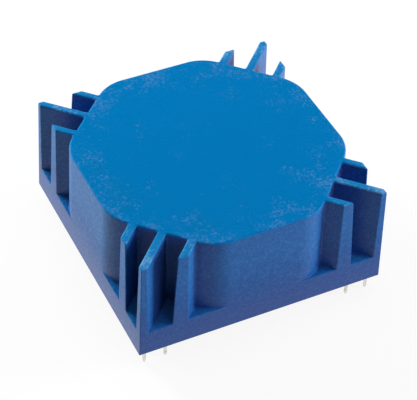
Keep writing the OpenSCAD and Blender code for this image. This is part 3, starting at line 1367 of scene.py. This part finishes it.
@dataclass
class Potting:
    """The resin's face, with the meniscus that creeps along the walls and the pins.

    Sizes are in millimetres. A creep goes so far down from the face, begins at its reach from the
    wall or pin and ends the more steeply, the higher its power. A sink goes into the resin.
    """

    recess: float = 0.6  # height of the resin's face above the seat
    wall_half: float = 28.78  # half the width between the base's walls
    corner_r: float = 0.7
    corner_steps: int = 4
    least_r: float = 0.05  # least radius left in a corner
    wall_creep: float = 0.38
    wall_reach: float = 0.8
    wall_power: float = 2.2
    wall_sink: float = 0.25
    pin_creep: float = 0.3
    pin_reach: float = 0.55
    pin_power: float = 2.0
    pin_sink: float = 0.2
    steps: int = 6
    facets: int = 24

    def _creep(self, reach: float, creep: float, power: float) -> list[Pair]:
        """Lists a creep's distances from the wall or pin outwards, and its heights."""
        shares = [k / self.steps for k in range(self.steps + 1)]
        return [(reach * s, self.recess - creep * (1.0 - s) ** power) for s in shares]

    def _wall_fillet(self) -> tuple[list[list[float]], Faces]:
        """Makes the hollow fillet of resin along the walls.

        Returns:
            Its points and faces.
        """
        sunk = self.recess + self.wall_sink
        section = self._creep(self.wall_reach, self.wall_creep, self.wall_power)
        section += [(self.wall_reach, sunk), (0.0, sunk)]
        points: list[list[float]] = []
        rings = []
        inner = self.wall_half - self.corner_r
        rounded = self.corner_r - self.least_r
        for corner, (sx, sy) in enumerate(((1, 1), (-1, 1), (-1, -1), (1, -1))):
            for k in range(self.corner_steps + 1):
                rings.append(range(len(points), len(points) + len(section)))
                dx, dy = unit(90.0 * (corner + k / self.corner_steps))
                for depth, z in section:
                    r = self.corner_r - min(depth, rounded)
                    middle = inner - max(0.0, depth - rounded)
                    points.append([sx * middle + r * dx, sy * middle + r * dy, z])
        faces: Faces = []
        for first, second in zip(rings, rings[1:] + rings[:1]):
            faces.extend(ring_quads(first, second))
        return points, faces

    def build(self, pins: TerminalPins) -> Piece:
        """Builds the meniscus on the CAD resin.

        Args:
            pins: The pins that the resin creeps along.

        Returns:
            The meniscus.
        """
        points, faces = self._wall_fillet()
        creep = self._creep(self.pin_reach, self.pin_creep, self.pin_power)
        collar = [(pins.pin_r + distance, z) for distance, z in creep]
        sunk = self.recess + self.pin_sink
        profile = [(0.0, collar[0][1]), *collar, (collar[-1][0], sunk), (0.0, sunk)]
        ring, ring_faces = turned(profile, self.facets)
        for x, y in pins.places():
            first = len(points)
            points.extend((ring + np.array([x, y, 0.0])).tolist())
            faces.extend([first + i for i in face] for face in ring_faces)
        piece = make_object("resin_meniscus", np.array(points), faces)
        weigh_normals(piece)
        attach(piece, "root")
        return piece

    def dress(self, pieces: list[Piece], finish: PottingResin, effects: EffectLibrary) -> None:
        """Gives the resin and its meniscus one finish."""
        dress_with(finish.material(effects), *pieces)


@dataclass
class WoundToroid:
    """The core, its windings, films and lead sleeves, which keep their CAD shapes."""

    steel: WoundSteel = WoundSteel()
    core_film: PolyesterFilm = PolyesterFilm(
        name="milky_film", first=(0.62, 0.62, 0.54), second=(0.7, 0.7, 0.62), laps=26.0
    )
    yellow_film: PolyesterFilm = PolyesterFilm(
        name="yellow_film", first=(0.62, 0.4, 0.06), second=(0.7, 0.47, 0.09), laps=18.0
    )
    # The wires' first colours are painted shade in the grooves between turns.
    primary: EnamelledWire = EnamelledWire(
        name="primary_wire", first=(0.07, 0.015, 0.006), second=(0.42, 0.09, 0.03), turns=420.0
    )
    secondary: EnamelledWire = EnamelledWire(
        name="secondary_wire", first=(0.1, 0.03, 0.008), second=(0.58, 0.21, 0.05), turns=160.0
    )
    sleeve: VarnishedSleeve = VarnishedSleeve()

    def dress(self, nodes: dict[str, Piece], effects: EffectLibrary) -> None:
        """Gives each inner node its finish.

        Args:
            nodes: The CAD nodes by name.
            effects: The shared node groups.
        """
        dressed = {
            self.steel: ["core"],
            self.core_film: ["core_wrap"],
            self.yellow_film: ["barrier_tape", "outer_tape"],
            self.primary: ["primary_winding_1", "primary_winding_2"],
            self.secondary: ["secondary_winding_1", "secondary_winding_2"],
            self.sleeve: [f"lead_sleeve_{number}" for number in range(1, PIN_COUNT + 1)],
        }
        for finish, names in dressed.items():
            dress_with(finish.material(effects), *(nodes[name] for name in names))


@dataclass(frozen=True)
class Softbox:
    """One area lamp that faces the object and leaves no hot spot in its gloss.

    Attributes:
        name: Where it stands.
        azimuth: Direction it stands in, in degrees from +X.
        elevation: Height it stands at, in degrees.
        power: Its power in watts.
        colour: Its colour.
        distance: Distance from the object in metres.
        size: Its width and height in metres.
    """

    name: str
    azimuth: float
    elevation: float
    power: float
    colour: Colour = WHITE
    distance: float = 0.7
    size: float = 0.4

    def build(self) -> None:
        """Builds the lamp."""
        data = bpy.data.lights.new(self.name, "AREA")
        data.shape = "SQUARE"
        data.size = self.size
        data.energy = self.power
        data.color = self.colour
        rise = math.radians(self.elevation)
        place = Vector((*(math.cos(rise) * unit(self.azimuth)), math.sin(rise)))
        lamp = bpy.data.objects.new(self.name, data)
        lamp.location = self.distance * place
        lamp.rotation_euler = place.to_track_quat("Z", "Y").to_euler()
        lamp.visible_glossy = False
        lamp.visible_camera = False
        bpy.context.scene.collection.objects.link(lamp)


@dataclass
class Studio:
    """Floor, lamps, world and camera. Sizes are in millimetres and angles in degrees."""

    # Floor, with the sweep round its flat part
    floor_z: float = -5.0
    floor_r: float = 2400.0
    cove_r: float = 600.0
    cove_steps: int = 8
    facets: int = 96
    floor_grey: float = 0.4  # grey of the floor for the light that it throws on the object
    floor_white: float = 0.95  # white of the floor as it is seen, straight or in a gloss
    floor_glow: float = 0.88  # how much of the seen floor is plain white, without shadow
    # Camera, with its focal length and offset in pixels of the photograph
    azimuth: float = -27.37  # from -Y
    elevation: float = 43.06
    roll: float = 2.549
    distance: float = 363.04
    aim_z: float = 12.88
    focal_px: float = 1578.48
    frame_px: float = 417.0
    offset_px: Pair = (-2.289, -11.997)
    sensor: float = 36.0
    clip: Pair = (10.0, 20000.0)
    # Light
    world: float = 0.012  # strength of the even light
    lamps: tuple[Softbox, ...] = (
        Softbox("right", -25.0, 15.0, 1.74, distance=0.4, size=0.18),
        Softbox("fill", -72.0, 28.0, 1.1, (1.0, 0.5, 1.0)),
        Softbox("left", 115.0, 15.0, 3.2, distance=0.4, size=0.18),
        Softbox("over", 45.0, 82.0, 1.46),
    )

    def build_floor(self) -> None:
        """Lays the floor under the pin tips and sweeps it up all round, out of sight."""
        points: list[list[float]] = []
        rings = []
        for turn in quarter(self.cove_steps):
            r = self.floor_r + self.cove_r * math.sin(turn)
            z = self.floor_z + self.cove_r * (1.0 - math.cos(turn))
            rings.append(range(len(points), len(points) + self.facets))
            points.extend([*(r * unit(360.0 * i / self.facets)), z] for i in range(self.facets))
        faces: Faces = [list(rings[0])]
        for first, second in zip(rings, rings[1:]):
            faces.extend(ring_quads(first, second))
        floor = make_object("studio_floor", np.array(points), faces)
        dress_with(self._paper(), floor)

    def _paper(self) -> bpy.types.Material:
        """Makes the floor's paper, which is seen as white and keeps the object's shadow.

        Returns:
            The material.
        """
        material = bpy.data.materials.new("studio_white")
        sheet = NodeSheet(blank_tree(material))
        path = sheet.add("ShaderNodeLightPath").outputs
        straight = sheet.math("MAXIMUM", path["Is Camera Ray"], path["Is Glossy Ray"])
        grey, white = ((level,) * 3 for level in (self.floor_grey, self.floor_white))
        paper = sheet.add("ShaderNodeBsdfDiffuse", {"Color": sheet.blend(straight, grey, white)})
        glow = sheet.add("ShaderNodeEmission", {"Color": WHITE, "Strength": 1.0})
        seen = sheet.math("MAXIMUM", straight, path["Is Transmission Ray"])
        share = sheet.math("MULTIPLY", seen, self.floor_glow)
        shaders = (share, paper.outputs[0], glow.outputs[0])
        mixed = sheet.add("ShaderNodeMixShader", dict(enumerate(shaders)))
        sheet.add("ShaderNodeOutputMaterial", {"Surface": mixed.outputs[0]})
        return material

    def build_lamps(self) -> None:
        """Sets up the softboxes and the even world light."""
        for box in self.lamps:
            box.build()
        world = bpy.data.worlds.new("studio_air")
        sheet = NodeSheet(blank_tree(world))
        air = sheet.add("ShaderNodeBackground", {"Color": WHITE, "Strength": self.world})
        sheet.add("ShaderNodeOutputWorld", {"Surface": air.outputs[0]})
        bpy.context.scene.world = world

    def build_camera(self) -> None:
        """Places the camera where the photograph was taken from."""
        az, el, roll = (math.radians(v) for v in (self.azimuth, self.elevation, self.roll))
        back = Vector((math.sin(az) * math.cos(el), -math.cos(az) * math.cos(el), math.sin(el)))
        right = Vector((math.cos(az), math.sin(az), 0.0))
        up = back.cross(right)
        level_x = math.cos(roll) * right + math.sin(roll) * up
        level_y = -math.sin(roll) * right + math.cos(roll) * up
        data = bpy.data.cameras.new("camera")
        data.sensor_width = self.sensor
        data.lens = self.focal_px / self.frame_px * self.sensor
        data.shift_x = -self.offset_px[0] / self.frame_px
        data.shift_y = self.offset_px[1] / self.frame_px
        data.clip_start, data.clip_end = metres(self.clip)
        camera = bpy.data.objects.new("camera", data)
        place = (Vector((0.0, 0.0, self.aim_z)) + self.distance * back) * MM
        turn = Matrix((level_x, level_y, back)).transposed()
        camera.matrix_world = Matrix.Translation(place) @ turn.to_4x4()
        bpy.context.scene.collection.objects.link(camera)
        bpy.context.scene.camera = camera

    def build(self) -> None:
        """Builds the whole studio with plain colour handling."""
        self.build_camera()
        self.build_floor()
        self.build_lamps()
        bpy.context.scene.view_settings.view_transform = "Standard"


def main() -> None:
    """Builds every piece in order."""
    logging.basicConfig(level=logging.INFO, format="%(name)s: %(message)s")
    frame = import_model()
    nodes = frame["nodes"]
    effects = EffectLibrary()
    case = MouldedCase()
    shell = case.build()
    case.dress(shell, MouldedPlastic(), effects)
    LOG.info("case: %d faces", len(shell.data.polygons))
    pins = TerminalPins()
    pin_pieces = pins.build()
    pins.dress(pin_pieces, TinPlate(), effects)
    LOG.info("pins: %d", len(pin_pieces))
    potting = Potting()
    meniscus = potting.build(pins)
    potting.dress([nodes["potting_resin"], meniscus], PottingResin(), effects)
    LOG.info("potting: %d faces in the meniscus", len(meniscus.data.polygons))
    WoundToroid().dress(nodes, effects)
    LOG.info("toroid: dressed")
    Studio().build()
    LOG.info("studio: built")


if __name__ == "__main__":
    main()
